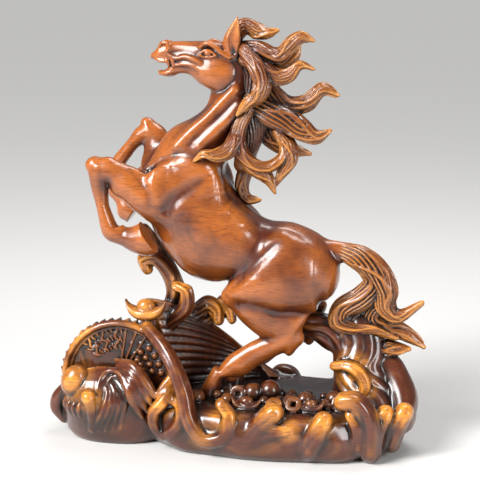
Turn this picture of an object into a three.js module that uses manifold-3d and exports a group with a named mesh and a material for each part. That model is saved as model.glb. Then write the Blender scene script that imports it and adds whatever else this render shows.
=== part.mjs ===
// Rearing horse on a base of curling waves, one glossy casting with the look of stained wood.
// Millimetres, Z up. X runs from the head (negative) to the tail, and the viewer stands at negative Y.

import * as THREE from 'three';
import { mergeVertices } from 'three/addons/utils/BufferGeometryUtils.js';
import Module from 'manifold-3d';

// Driving sizes

const statueHeight = 410;
// The figure and its base are laid out in thousandths of the statue's height.
const share = statueHeight / 1000;

// The hooves of the hind legs stand on this level.
const poolLevel = 110 * share;
const poolX = 102 * share;
const poolY = -20 * share;
const poolHalfLength = 310 * share;
const poolHalfDepth = 190 * share;
const lobeX = -268 * share;
const lobeY = -24 * share;
const lobeHalfLength = 139 * share;
const lobeHalfDepth = 139 * share;
const lobeTop = 215 * share;
// How far a foot or a root reaches into what carries it.
const sink = 3;

const coinRadius = 146 * share;
const coinThickness = 11;
const coinX = -256 * share;
const coinY = -112 * share;
const coinZ = 149 * share;
const coinLean = 6;
const coinTeeth = 30;
const toothHeight = 2.2;
const rimWidth = 7;
const faceSink = 2.2;
const strokeHeight = 0.9;

// The hollow wave behind the standing leg.
const wallTop = 332 * share;
const wallStartX = -151 * share;
const wallStartY = -34 * share;
const wallLength = 259 * share;
const wallReach = 141 * share;
const wallThickness = 10;
const fluteDepth = 2.5;

const bodySides = 11;
const legSides = 6;
const lockSides = 5;
const waveSides = 5;
const hairGroove = 0.16;
const waveGroove = 0.1;

const wasm = await Module();
wasm.setup();

// Solids

function toSolid(geometry) {
  const bare = geometry.index ? geometry.toNonIndexed() : geometry.clone();
  bare.deleteAttribute('normal');
  bare.deleteAttribute('uv');
  const merged = mergeVertices(bare, 1e-4);
  return new wasm.Manifold(new wasm.Mesh({
    numProp: 3,
    vertProperties: new Float32Array(merged.attributes.position.array),
    triVerts: new Uint32Array(merged.index.array),
  }));
}

function join(solids) {
  return solids.reduce((whole, solid) => whole.add(solid));
}

function placed(geometry, x, y, z, turn = [0, 0, 0]) {
  const copy = geometry.clone();
  copy.rotateX(THREE.MathUtils.degToRad(turn[0]));
  copy.rotateY(THREE.MathUtils.degToRad(turn[1]));
  copy.rotateZ(THREE.MathUtils.degToRad(turn[2]));
  copy.translate(x, y, z);
  return toSolid(copy);
}

// One value of a smooth curve through equally spaced knots.
function smoothValue(knots, at) {
  const last = knots.length - 1;
  const i = Math.min(Math.floor(at), last - 1);
  const f = at - i;
  const p0 = knots[Math.max(i - 1, 0)];
  const p1 = knots[i];
  const p2 = knots[i + 1];
  const p3 = knots[Math.min(i + 2, last)];
  const a = 2 * p1;
  const b = p2 - p0;
  const c = 2 * p0 - 5 * p1 + 4 * p2 - p3;
  const d = 3 * p1 - p0 - 3 * p2 + p3;
  return (a + b * f + c * f * f + d * f * f * f) / 2;
}

// A closed skin over rings of points, with one point past each end.
function skin(rings, firstTip, lastTip) {
  const sides = rings[0].length;
  const points = rings.flat();
  const faces = [];
  for (let r = 0; r + 1 < rings.length; r++) {
    for (let s = 0; s < sides; s++) {
      const a = r * sides + s;
      const b = r * sides + (s + 1) % sides;
      faces.push(a, b, b + sides, a, b + sides, a + sides);
    }
  }
  const first = points.push(firstTip) - 1;
  const last = points.push(lastTip) - 1;
  const lastRing = (rings.length - 1) * sides;
  for (let s = 0; s < sides; s++) {
    const next = (s + 1) % sides;
    faces.push(first, next, s);
    faces.push(last, lastRing + s, lastRing + next);
  }
  let volume = 0;
  for (let f = 0; f < faces.length; f += 3) {
    const [p, q, r] = [points[faces[f]], points[faces[f + 1]], points[faces[f + 2]]];
    volume += p.dot(q.clone().cross(r));
  }
  if (volume < 0) faces.reverse();
  const geometry = new THREE.BufferGeometry();
  const values = points.flatMap((p) => p.toArray());
  geometry.setAttribute('position', new THREE.Float32BufferAttribute(values, 3));
  geometry.setIndex(faces);
  return toSolid(geometry);
}

// A limb or lock: stations of [x, z, y, half thickness, half width, lean of the section in degrees].
// A station without a lean stands square to the path. Odd points of a grooved section lie deeper.
function sweep(stations, { sides = legSides, steps = 1, groove = 0, dome = 0.5, round = 1 } = {}) {
  const count = (stations.length - 1) * steps;
  const column = (i) => stations.map((s) => s[i] * share);
  const [xs, zs, ys, thick, wide] = [0, 1, 2, 3, 4].map(column);
  const leans = stations.map((s) => s[5]);
  const across = stations.map((s, i) => {
    if (leans[i] !== undefined) {
      const a = THREE.MathUtils.degToRad(leans[i]);
      return [Math.cos(a), Math.sin(a)];
    }
    const before = stations[Math.max(i - 1, 0)];
    const after = stations[Math.min(i + 1, stations.length - 1)];
    const dx = after[0] - before[0];
    const dz = after[1] - before[1];
    const length = Math.hypot(dx, dz) || 1;
    return [-dz / length, dx / length];
  });
  const rings = [];
  const centres = [];
  for (let k = 0; k <= count; k++) {
    const at = k / steps;
    const centre = new THREE.Vector3(smoothValue(xs, at), smoothValue(ys, at), smoothValue(zs, at));
    let nx = smoothValue(across.map((a) => a[0]), at);
    let nz = smoothValue(across.map((a) => a[1]), at);
    const length = Math.hypot(nx, nz);
    nx /= length;
    nz /= length;
    const t = Math.max(smoothValue(thick, at), 0.25);
    const w = Math.max(smoothValue(wide, at), 0.25);
    const ring = [];
    for (let s = 0; s < sides; s++) {
      const a = (s / sides) * Math.PI * 2;
      const depth = 1 - (s % 2 ? groove : 0);
      const c = Math.sign(Math.cos(a)) * Math.abs(Math.cos(a)) ** round * depth;
      const d = Math.sign(Math.sin(a)) * Math.abs(Math.sin(a)) ** round * depth;
      ring.push(new THREE.Vector3(centre.x + nx * t * c, centre.y + w * d, centre.z + nz * t * c));
    }
    rings.push(ring);
    centres.push(centre);
  }
  const tip = (end, inner, size) => {
    const out = centres[end].clone().sub(centres[inner]).normalize();
    return centres[end].clone().addScaledVector(out, size * dome + 0.2);
  };
  const n = centres.length - 1;
  const firstTip = tip(0, 1, Math.max(thick[0], 0.5));
  const lastTip = tip(n, n - 1, Math.max(thick[thick.length - 1], 0.5));
  return skin(rings, firstTip, lastTip);
}

// Horse

const torso = sweep([
  [232, 402, 0, 46, 48, 84], [190, 412, 0, 80, 80, 78], [110, 436, 0, 88, 90, 70],
  [45, 451, 0, 81, 83, 64], [-4, 460, 0, 98, 90, 65], [-51, 484, 0, 112, 98, 60],
  [-89, 530, 0, 117, 98, 55], [-126, 575, 0, 108, 93, 53], [-162, 623, 0, 72, 83, 47],
  [-192, 643, 0, 43, 59, 53],
], { sides: bodySides, dome: 0.35 });

const neck = sweep([
  [-13, 887, 0, 48, 22, 44], [-13, 857, 0, 55, 29, 41], [-14, 820, 0, 61, 34, 31],
  [-29, 783, 0, 72, 44, 17], [-60, 743, 0, 81, 59, 2], [-85, 703, 0, 84, 71, -8],
  [-108, 658, 0, 82, 80, -13], [-131, 609, 0, 64, 80, -18],
], { sides: bodySides });

const skull = sweep([
  [-1, 880, 0, 39, 20, 63], [-16, 882, 0, 48, 26, 76], [-45, 884, 0, 54, 30, 72],
  [-67, 890, 0, 51, 30, 72], [-90, 905, 0, 37, 28, 67], [-114, 909, 0, 31, 23, 71],
  [-137, 912, 0, 26, 20, 79], [-158, 912, 0, 24, 20, 81], [-176, 909, 0, 16, 18, 89],
  [-191, 903, 0, 8, 11, 98],
], { sides: legSides, round: 0.85 });

const jaw = sweep([
  [-51, 858, 0, 30, 22, 78], [-80, 869, 0, 20, 21, 77], [-107, 876, 0, 15, 17, 79],
  [-128, 875, 0, 13, 16, 90], [-145, 871, 0, 15, 16, 100], [-160, 863, 0, 9, 15, 104],
  [-175, 865, 0, 5, 10, 104],
], { sides: lockSides });

const nearEar = [
  [0, 912, -20, 16, 10, 181], [-1, 938, -24, 21, 12, 186], [3, 959, -26, 17, 11, 181],
  [9, 981, -27, 9, 7, 181], [14, 997, -27, 2, 2, 181],
];
const farEar = nearEar.map(([x, z, y, t, w, lean]) => [x - 12, z - 7, -y, t, w, lean]);

const nearForeleg = [
  sweep([
    [-123, 587, -39, 78, 54, 91], [-165, 588, -54, 78, 51, 89], [-208, 591, -66, 49, 39, 78],
    [-242, 617, -71, 37, 32, 66], [-267, 636, -76, 29, 27, 65], [-291, 642, -76, 34, 27, 68],
    [-315, 654, -76, 22, 22, 55],
  ]),
  sweep([
    [-302, 655, -76, 16, 24, 169], [-307, 627, -76, 25, 26, 154], [-305, 594, -76, 22, 22, 157],
    [-300, 566, -76, 17, 20, 166], [-292, 537, -76, 18, 21, 171], [-283, 508, -76, 21, 23, 186],
    [-271, 496, -76, 26, 22, 223], [-249, 487, -76, 23, 20, 254], [-226, 481, -76, 31, 27, 269],
    [-198, 482, -76, 41, 33, 281], [-188, 487, -76, 41, 33, 303],
  ], { dome: 0.05 }),
];

const farForeleg = [
  sweep([
    [-172, 610, 34, 56, 41, -145], [-195, 654, 49, 50, 34, -150], [-201, 689, 59, 35, 26, -158],
    [-213, 718, 63, 29, 23, -166], [-223, 735, 63, 17, 15, -166],
  ]),
  sweep([
    [-217, 723, 63, 20, 20, 129], [-241, 706, 63, 21, 21, 129], [-261, 686, 63, 16, 18, 133],
    [-283, 660, 63, 16, 17, 139], [-299, 639, 63, 17, 17, 146], [-315, 608, 63, 17, 20, 169],
    [-312, 572, 63, 18, 18, 190], [-294, 551, 63, 18, 20, 225], [-282, 531, 63, 31, 26, 235],
    [-260, 517, 63, 31, 29, 235],
  ], { dome: 0.05 }),
];

// Hind legs share one set of stations. The far one is mirrored: its hip lies a little forward and its
// hoof stands a little back.
const thigh = [
  [226, 390, -22, 50, 46, 76], [190, 402, -34, 84, 58, 98], [138, 400, -44, 90, 60, 103],
  [91, 387, -49, 73, 56, 105], [47, 371, -51, 49, 49, 107], [14, 357, -51, 31, 37, 115],
  [-9, 345, -49, 19, 20, 112],
];
const gaskin = [
  [10, 338, -49, 21, 27, 77], [47, 324, -51, 39, 37, 68], [97, 302, -51, 52, 34, 57],
  [140, 283, -51, 57, 29, 41], [145, 257, -51, 41, 26, 42], [148, 240, -51, 23, 20, 47],
];
const hindCannon = [
  [158, 255, -51, 21, 20, 100], [121, 243, -51, 25, 23, 118], [88, 228, -51, 28, 22, 110],
  [58, 211, -51, 30, 22, 106], [33, 192, -54, 33, 24, 103], [9, 180, -56, 28, 24, 110],
  [-14, 165, -59, 15, 22, 130],
];
const soleZ = (poolLevel - sink) / share;
const hindHoof = [
  [-19, 170, -59, 19, 20, 153], [-33, 150, -61, 19, 24, 176], [-41, 128, -61, 24, 29, 181],
  [-44, soleZ, -61, 28, 32, 184],
];
const farHip = -12;
const farHoof = 30;
function mirrored(stations, start = farHoof) {
  const last = stations.length - 1;
  const moved = (i) => start + (farHoof - start) * (i / last);
  return stations.map(([x, z, y, ...rest], i) => [x + moved(i), z, -y, ...rest]);
}
const nearLeg = [thigh, gaskin, hindCannon, hindHoof];
const farLeg = [mirrored(thigh, farHip), mirrored(gaskin), mirrored(hindCannon), mirrored(hindHoof)];
const hindLegs = [nearLeg, farLeg].flatMap(([upper, middle, lower, hoof]) => [
  sweep(upper, { sides: bodySides - 3 }),
  sweep(middle),
  sweep(lower),
  sweep(hoof, { dome: 0.05 }),
]);
// The smooth root of the tail.
const dock = sweep([
  [196, 452, 0, 30, 26], [236, 457, 0, 25, 22], [280, 449, 0, 23, 20], [318, 424, 0, 20, 18],
]);

const horse = [
  torso, neck, skull, jaw, dock,
  sweep(nearEar, { sides: lockSides }),
  sweep(farEar, { sides: lockSides }),
  ...nearForeleg, ...farForeleg, ...hindLegs,
];

// Mane and tail. A lock has its half thickness, its depth at the root, middle and tip, and its path seen
// from the side. It swells from the root and runs out to a point.

function depthAt([first, middle, last], u) {
  return first * (1 - u) * (1 - 2 * u) + middle * 4 * u * (1 - u) + last * u * (2 * u - 1);
}

function lock(thick, depths, ...path) {
  return path.map(([x, z], i) => {
    const u = i / (path.length - 1);
    const t = thick * Math.min(0.75 + 1.5 * u, 1) * (1 - 0.8 * u ** 3);
    return [x, z, depthAt(depths, u), t, t * 1.08];
  });
}

const maneLocks = [
  lock(21, [16, 8, -4], [-4, 938], [22, 973], [55, 962], [81, 959], [104, 966]),
  lock(22, [4, -14, -18], [18, 926], [56, 921], [106, 909], [138, 938], [163, 953], [188, 945]),
  lock(18, [10, 22, 24], [22, 910], [67, 892], [108, 883], [138, 906], [150, 927]),
  lock(20, [-20, -32, -27], [28, 899], [71, 882], [107, 863], [137, 870], [162, 891], [191, 882]),
  lock(21, [-22, -51, -54], [28, 922], [59, 887], [77, 850], [67, 819], [42, 803], [19, 776]),
  lock(25, [5, -2, -7], [46, 874], [84, 825], [128, 795], [172, 803], [209, 835], [244, 822]),
  lock(30, [-10, -27, -27], [40, 811], [89, 779], [134, 762], [169, 740], [202, 728], [229, 742]),
  lock(25, [15, 22, 22], [35, 785], [62, 740], [98, 706], [136, 688], [176, 680]),
  lock(19, [-32, -49, -27], [44, 786], [22, 748], [24, 700], [53, 664], [92, 657], [124, 686], [114, 725]),
  lock(19, [-20, -29, -32], [108, 735], [134, 704], [136, 668], [117, 638], [104, 611]),
  lock(19, [-44, -41, -37], [24, 694], [47, 660], [75, 642], [93, 624], [105, 596]),
  lock(21, [22, 20, 12], [19, 736], [28, 684], [22, 637], [15, 597], [30, 570], [60, 569]),
  lock(19, [-32, -76, -83], [21, 758], [16, 723], [0, 695], [-28, 686], [-53, 688], [-76, 672]),
];
// Two of the near locks fall down the far side of the neck as well.
const farLocks = [maneLocks[4], maneLocks[12]].map((near) => (
  near.map(([x, z, y, t, w]) => [x, z - 10, -y, t, w])
));

const tailLocks = [
  lock(31, [0, -12, -15], [262, 457], [304, 443], [343, 414], [365, 372], [364, 334], [396, 312],
    [447, 347]),
  lock(29, [6, -6, -9], [285, 445], [322, 416], [334, 384], [305, 348], [262, 321], [254, 288], [292, 272],
    [340, 274], [390, 258]),
  lock(28, [15, 15, 5], [355, 380], [341, 341], [328, 301], [357, 277], [393, 270], [424, 256], [452, 236]),
  lock(27, [10, 0, -2], [291, 311], [268, 275], [269, 238], [298, 231], [322, 226], [344, 210]),
  lock(32, [20, 10, 0], [337, 296], [329, 253], [344, 221], [378, 227], [418, 231]),
];

// The mass of hair that the mane's locks leave from.
const maneRoot = sweep([
  [12, 905, 0, 26, 17], [36, 858, 0, 34, 22], [48, 806, 0, 37, 26], [46, 752, 0, 36, 28],
  [32, 700, 0, 30, 27], [20, 655, 2, 22, 24],
], { groove: hairGroove });

const hair = [
  maneRoot,
  ...[...maneLocks, ...farLocks, ...tailLocks].map((stations) => (
    sweep(stations, { sides: lockSides, groove: hairGroove })
  )),
];

// Base: two low mounds with one flat underside, tucked in where they meet the floor.

function mound(centreX, centreY, halfLength, halfDepth, squareness, layers, points = 18) {
  const power = 2 / squareness;
  const rings = layers.map(([z, scale]) => Array.from({ length: points }, (_, i) => {
    const a = (i / points) * Math.PI * 2;
    const c = Math.sign(Math.cos(a)) * Math.abs(Math.cos(a)) ** power;
    const s = Math.sign(Math.sin(a)) * Math.abs(Math.sin(a)) ** power;
    return new THREE.Vector3(centreX + halfLength * scale * c, centreY + halfDepth * scale * s, z);
  }));
  const top = layers[layers.length - 1][0];
  return skin(rings, new THREE.Vector3(centreX, centreY, 0), new THREE.Vector3(centreX, centreY, top));
}

const wallTuck = 0.9;
const poolMass = mound(poolX, poolY, poolHalfLength, poolHalfDepth, 2.6, [
  [0, wallTuck], [0.15 * poolLevel, 0.97], [0.5 * poolLevel, 1], [0.85 * poolLevel, 0.95], [poolLevel, 0.82],
]);
const lobeMass = mound(lobeX, lobeY, lobeHalfLength, lobeHalfDepth, 2.3, [
  [0, wallTuck], [0.1 * lobeTop, 0.99], [0.32 * lobeTop, 1.04], [0.6 * lobeTop, 0.98],
  [0.85 * lobeTop, 0.72], [lobeTop, 0.34],
], 16);

// A hollow wave behind the standing leg: a curved wall with flutes along its inner side.
function flutedWall() {
  const along = 6;
  const up = 8;
  const inner = [];
  const outer = [];
  for (let j = 0; j <= up; j++) {
    for (let i = 0; i <= along; i++) {
      const u = i / along;
      const v = j / up;
      const top = wallTop - (wallTop - poolLevel - sink) * u ** 1.5;
      const z = poolLevel - sink + (top - poolLevel + sink) * v;
      const x = wallStartX + wallLength * (u - 0.15 * v * v);
      const y = wallStartY + wallReach * (Math.sin(u * Math.PI / 2) - 0.2 * v * v);
      const dent = j % 2 ? fluteDepth : 0;
      const slope = Math.atan2(wallReach * Math.cos(u * Math.PI / 2) * Math.PI / 2, wallLength);
      inner.push(new THREE.Vector3(x - Math.sin(slope) * dent, y + Math.cos(slope) * dent, z));
      const back = wallThickness;
      outer.push(new THREE.Vector3(x - Math.sin(slope) * back, y + Math.cos(slope) * back, z));
    }
  }
  const rings = [];
  for (let i = 0; i <= along; i++) {
    const column = (side) => Array.from({ length: up + 1 }, (_, j) => side[j * (along + 1) + i]);
    rings.push([...column(inner), ...column(outer).reverse()]);
  }
  const middle = (ring) => {
    const sum = ring.reduce((total, p) => total.add(p), new THREE.Vector3());
    return sum.divideScalar(ring.length);
  };
  return skin(rings, middle(rings[0]), middle(rings[along]));
}

// Waves. They are described like locks, but keep a rounded end. A crest swells to a head at its end,
// and a fold is thickest in its middle.

function strip(depths, path, thickness) {
  return path.map(([x, z], i) => {
    const u = i / (path.length - 1);
    return [x, z, depthAt(depths, u), thickness(u), thickness(u) * 1.15];
  });
}

function wave(thick, depths, ...path) {
  return strip(depths, path, (u) => thick * (0.7 + 0.3 * Math.sin(Math.PI * u)));
}

function crest(thick, head, depths, ...path) {
  return strip(depths, path, (u) => thick + (head - thick) * u * u);
}

function fold(thick, depths, ...path) {
  return strip(depths, path, (u) => thick * (0.35 + 0.65 * Math.sin(Math.PI * u)));
}

// Stems that carry the belly and the raised hoof.
const waveStems = [
  wave(22, [10, 5, 5], [-211, 223], [-172, 278], [-149, 334], [-158, 382], [-190, 419], [-222, 413],
    [-215, 392]),
  wave(21, [15, 15, 5], [-131, 336], [-156, 379], [-185, 425], [-208, 462], [-221, 489]),
  wave(19, [-15, -27, -27], [-179, 227], [-150, 272], [-113, 308], [-109, 350], [-133, 360]),
  wave(22, [29, 29, 24], [-141, 257], [-101, 284], [-71, 306], [-50, 293], [-43, 271]),
  wave(18, [44, 44, 39], [-94, 246], [-59, 278], [-37, 309], [-22, 291], [-14, 269]),
];
// The mass under the tail, the fin beside it and the bridge behind the hock.
const tailSupport = [
  [[299, 262, 8, 56, 36, 183], [302, 218, 2, 64, 50, 181], [303, 187, 0, 64, 60, 184],
    [312, 150, -2, 72, 74, 186], [320, 112, -7, 88, 88, 185], [318, 76, -15, 104, 100, 184]],
  [[287, 190, -12, 19, 22], [332, 199, 0, 28, 29], [369, 185, 5, 33, 34], [394, 150, -5, 33, 44],
    [411, 114, -24, 33, 54], [408, 73, -40, 33, 60]],
  [[133, 276, 15, 26, 29], [166, 278, 15, 31, 32], [200, 271, 12, 35, 34], [239, 254, 10, 42, 39],
    [278, 237, 10, 42, 41]],
  wave(17, [-49, -65, -73], [249, 193], [283, 198], [312, 183], [325, 156], [319, 130]),
];
// The mass behind the coin.
const coinBack = [
  [-262, 30, -20, 140, 110, 180], [-268, 90, -25, 118, 105, 180], [-258, 150, -20, 96, 84, 180],
  [-232, 205, 0, 66, 58, 180], [-206, 250, 14, 36, 40, 180],
];

// The long wave that runs down beside the coin and hooks back up, its thin rim over the coin, and the
// crests and leaves of the front wall.
const frontWaves = [
  wave(21, [-188, -188, -98], [10, 129], [31, 100], [16, 56], [-28, 46], [-64, 86], [-82, 147], [-115, 211],
    [-150, 249], [-191, 276]),
  crest(27, 25, [-178, -186, -190], [58, 30], [88, 68], [116, 100], [132, 116]),
  crest(20, 14, [-186, -196, -192], [96, 56], [126, 72], [150, 78], [169, 80]),
  crest(30, 24, [-176, -186, -186], [212, 32], [230, 68], [246, 102]),
  crest(27, 24, [-150, -160, -162], [350, 26], [350, 76], [336, 122], [314, 146], [291, 145]),
  crest(17, 14, [-160, -172, -170], [322, 36], [322, 84], [306, 116]),
  crest(26, 21, [-128, -136, -132], [352, 28], [362, 68], [380, 112]),
  crest(22, 23, [-110, -116, -112], [392, 34], [406, 76], [421, 112]),
  wave(16, [-134, -166, -156], [-112, 152], [-121, 136], [-135, 115], [-155, 91], [-156, 61], [-144, 35]),
  wave(17, [-156, -178, -159], [-114, 120], [-91, 116], [-85, 85], [-106, 52], [-136, 31]),
  lock(16, [-151, -142, -134], [-144, 131], [-133, 145], [-118, 168], [-107, 189]),
];

// Folds hang over the coin's face side by side, from the upper one to the lower.
const folds = [0, 0.5, 1].map((k) => fold(15, [-132 - 22 * k, -148 - 18 * k, -150 - 6 * k],
  [-256 + 16 * k, 204 - 40 * k], [-211 - 7 * k, 190 - 44 * k], [-174 - 32 * k, 152 - 36 * k],
  [-148 - 38 * k, 112 - 40 * k]));
// A fan of ribs spreads down the left mound from one eye.
const fan = [0, 0.5, 1].map((k) => fold(12, [-162, -170 - 6 * k, -160], [-250 - 22 * k, 156 - 14 * k],
  [-231 - 36 * k, 134 - 10 * k], [-227 - 50 * k, 102 - 14 * k], [-238 - 72 * k, 42 - 9 * k]));
// A finger, a ball and a row of blobs at the left end.
const leftEnd = [
  crest(11, 19, [-156, -172, -172], [-308, 36], [-303, 80], [-311, 118]),
  wave(36, [-138, -142, -142], [-360, 164], [-356, 147], [-351, 132]),
  wave(20, [-88, -80, -82], [-396, 112], [-414, 84], [-418, 58], [-402, 34]),
];

// The back of the base carries plainer swells, all of one form.
const backSwells = [-90, 60, 225].map((x) => (
  wave(22, [140, 150, 150], [x, 92], [x + 24, 112], [x + 52, 104], [x + 60, 70], [x + 36, 38], [x - 10, 28])
));

// The thin rim of the wave follows the coin's edge.
const rim = [48, 70, 92, 114, 136, 158, 176].map((degrees) => {
  const a = THREE.MathUtils.degToRad(degrees);
  const up = 0.93 * coinRadius * Math.sin(a);
  const lean = THREE.MathUtils.degToRad(coinLean);
  return [(coinX + 0.93 * coinRadius * Math.cos(a)) / share, (coinZ + up * Math.cos(lean)) / share,
    (coinY + up * Math.sin(lean)) / share, 9, 11];
});

const waves = [
  flutedWall(),
  ...tailSupport.map((s) => sweep(s, { groove: waveGroove })),
  sweep(coinBack, { groove: waveGroove }),
  ...[...waveStems, ...frontWaves, rim, ...folds, ...fan, ...leftEnd, ...backSwells].map((s) => (
    sweep(s, { sides: waveSides, groove: waveGroove })
  )),
];

// Treasure: the coin, ingots and beads.

function coin() {
  const outline = new THREE.Shape();
  const around = coinTeeth * 2;
  for (let i = 0; i < around; i++) {
    const a = (i / around) * Math.PI * 2;
    const raised = i % 2 === 1;
    const radius = coinRadius - (raised ? 0 : toothHeight);
    outline[i ? 'lineTo' : 'moveTo'](Math.cos(a) * radius, Math.sin(a) * radius);
  }
  outline.closePath();
  const disc = new THREE.ExtrudeGeometry(outline, { depth: coinThickness, bevelEnabled: false });
  disc.translate(0, 0, -coinThickness);
  const inner = coinRadius - toothHeight - rimWidth;
  const profile = [[0, rimWidth], [inner + 2, rimWidth], [inner, -faceSink], [0, -faceSink]];
  const hollow = new THREE.LatheGeometry(profile.map(([r, z]) => new THREE.Vector2(r, z)).reverse(), 16);
  hollow.rotateX(Math.PI / 2);
  let body = toSolid(disc).subtract(toSolid(hollow));
  // Two bent rows of plain raised strokes, all alike apart from their lean.
  const stroke = new THREE.BoxGeometry(0.04 * coinRadius, 0.18 * coinRadius, strokeHeight * 2);
  for (const [rowRadius, count, spread] of [[0.65 * coinRadius, 5, 76], [0.38 * coinRadius, 3, 64]]) {
    for (let i = 0; i < count; i++) {
      const a = THREE.MathUtils.degToRad(92 + spread * (i / (count - 1) - 0.5));
      const lean = THREE.MathUtils.radToDeg(a) - 90 + (i % 2 ? 12 : -12);
      const place = [Math.cos(a) * rowRadius, Math.sin(a) * rowRadius, -faceSink];
      body = body.add(placed(stroke, ...place, [0, 0, lean]));
    }
  }
  // The face turns from +Z to -Y and leans back.
  return body.rotate([90 - coinLean, 0, 0]).translate([coinX, coinY, coinZ]);
}

// Sizes and places in the pool are in thousandths too, and heights count from the pool.
function ingot(x, y, up, size, turn) {
  const half = [[20, 0, 22], [39, 10, 17], [49, 29, 7]];
  const boat = [...half.map(([a, b, t]) => [-a, b, t]).reverse(), [0, -2, 24], ...half];
  const hull = sweep(boat.map(([a, b, t]) => [a, b, 0, t * 0.7, t, 90]), { sides: lockSides });
  const dome = new THREE.SphereGeometry(20 * share, 6, 4);
  dome.scale(1.1, 0.9, 0.9);
  return hull.add(placed(dome, 0, 0, 17 * share)).scale(size).rotate([0, 0, turn])
    .translate([x * share, y * share, poolLevel + up * share]);
}

function bead(x, y, up, radius) {
  const ball = new THREE.SphereGeometry(radius * share, 6, 4);
  return placed(ball, x * share, y * share, poolLevel + up * share);
}

const treasure = [
  coin(),
  ingot(-198, -73, 193, 1, -12),
  ingot(61, -146, 3, 0.72, 15),
  ingot(210, -141, 5, 0.66, -18),
  ...[
    [63, -83, 17, 23], [102, -76, 22, 26], [156, -112, 12, 17], [190, -107, 15, 20], [254, -78, 12, 20],
    [10, -122, 7, 17], [-63, -122, 10, 20],
  ].map(([x, y, up, radius]) => bead(x, y, up, radius)),
];

// Everything is one casting, trimmed flat on the floor.

let statue = join([...horse, ...hair, poolMass, lobeMass, ...waves, ...treasure]);
const cutter = new THREE.BoxGeometry(3 * statueHeight, 3 * statueHeight, statueHeight);
statue = statue.subtract(placed(cutter, 0, 0, -statueHeight / 2));

function toMesh(name, solid, material) {
  const mesh = solid.getMesh();
  const geometry = new THREE.BufferGeometry();
  geometry.setAttribute('position', new THREE.Float32BufferAttribute(mesh.vertProperties, 3));
  geometry.setIndex(Array.from(mesh.triVerts));
  const flat = geometry.toNonIndexed();
  flat.computeVertexNormals();
  const result = new THREE.Mesh(flat, material);
  result.name = name;
  return result;
}

const rosewood = new THREE.MeshStandardMaterial({ color: 0x9c4a17, roughness: 0.28, metalness: 0 });
const mesh = toMesh('horse_statue', statue, rosewood);

// The origin is the middle of the underside.
const bounds = new THREE.Box3().setFromObject(mesh);
mesh.position.set(-(bounds.min.x + bounds.max.x) / 2, -(bounds.min.y + bounds.max.y) / 2, -bounds.min.z);

const group = new THREE.Group();
group.add(mesh);
export default group;
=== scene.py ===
# %% [markdown]
# # A rearing horse on curling waves
# The statue is one glossy casting. It is modelled here as clay is: each limb, lock and wave is a
# closed skin swept along a few stations, every skin becomes a distance field, and the fields melt
# into one another before the surface is drawn again as a mesh.

# %% the frame
import math

import bpy
import numpy as np
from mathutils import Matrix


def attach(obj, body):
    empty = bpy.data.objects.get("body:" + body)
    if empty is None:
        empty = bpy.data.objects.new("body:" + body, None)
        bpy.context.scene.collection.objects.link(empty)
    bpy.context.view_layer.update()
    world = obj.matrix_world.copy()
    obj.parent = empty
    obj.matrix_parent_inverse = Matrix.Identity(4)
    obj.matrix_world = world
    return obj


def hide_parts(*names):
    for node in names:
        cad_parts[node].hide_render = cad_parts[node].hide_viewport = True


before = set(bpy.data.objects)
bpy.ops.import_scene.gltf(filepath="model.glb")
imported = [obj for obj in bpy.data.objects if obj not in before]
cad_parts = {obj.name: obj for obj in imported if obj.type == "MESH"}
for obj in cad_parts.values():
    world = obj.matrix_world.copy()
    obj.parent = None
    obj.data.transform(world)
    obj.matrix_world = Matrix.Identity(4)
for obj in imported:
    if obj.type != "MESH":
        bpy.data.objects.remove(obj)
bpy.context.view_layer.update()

import openvdb
from mathutils import Vector

node = "horse_statue"

# %% [markdown]
# ## Sizes
# Stations are in thousandths of the statue's height, as in the CAD source: x, height, depth, half
# thickness, half width and, where a section isn't square to its path, its lean in degrees.
# Everything below works in millimetres, and the meshes are scaled to metres at the end.

# %% sizes
height = 410.0
share = height / 1000
# The frame's origin is the middle of the underside, a little off the figure's own middle.
shift = np.array([-4.5, 9.9, 0.0])
pool_level = 110 * share
fine = 1.0
hair_fine = 0.75
print("grid steps, mm:", fine, hair_fine)

# %% [markdown]
# ## Swept skins
# A skin runs through rings of points. Stations are joined by a smooth curve. Ridges run along a
# section, round on top and sharp between, and wander as they go: that is how a lock of hair is cut.

# %% sweeping
def smooth_curve(knots, count):
    """Values of a smooth curve through the knots, at `count` even places."""
    knots = np.asarray(knots, float)
    padded = np.vstack([2 * knots[0] - knots[1], knots, 2 * knots[-1] - knots[-2]])
    at = np.linspace(0, len(knots) - 1, count)
    i = np.minimum(at.astype(int), len(knots) - 2)
    f = (at - i)[:, None]
    p0, p1, p2, p3 = (padded[i + k] for k in range(4))
    return 0.5 * (2 * p1 + (p2 - p0) * f + (2 * p0 - 5 * p1 + 4 * p2 - p3) * f ** 2
                  + (3 * p1 - p0 - 3 * p2 + p3) * f ** 3)


def skin(rings, first, last):
    """Points, triangles and quads of a closed skin over the rings."""
    count, sides = rings.shape[:2]
    points = np.vstack([rings.reshape(-1, 3), first, last])
    a = np.arange(count * sides).reshape(count, sides)
    b = np.roll(a, -1, 1)
    quads = np.stack([a[:-1], b[:-1], b[1:], a[1:]], -1).reshape(-1, 4)
    first_index, last_index = count * sides, count * sides + 1
    ends = np.vstack([np.stack([np.full(sides, first_index), b[0], a[0]], 1),
                      np.stack([np.full(sides, last_index), a[-1], b[-1]], 1)])
    return points, ends, quads


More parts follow.
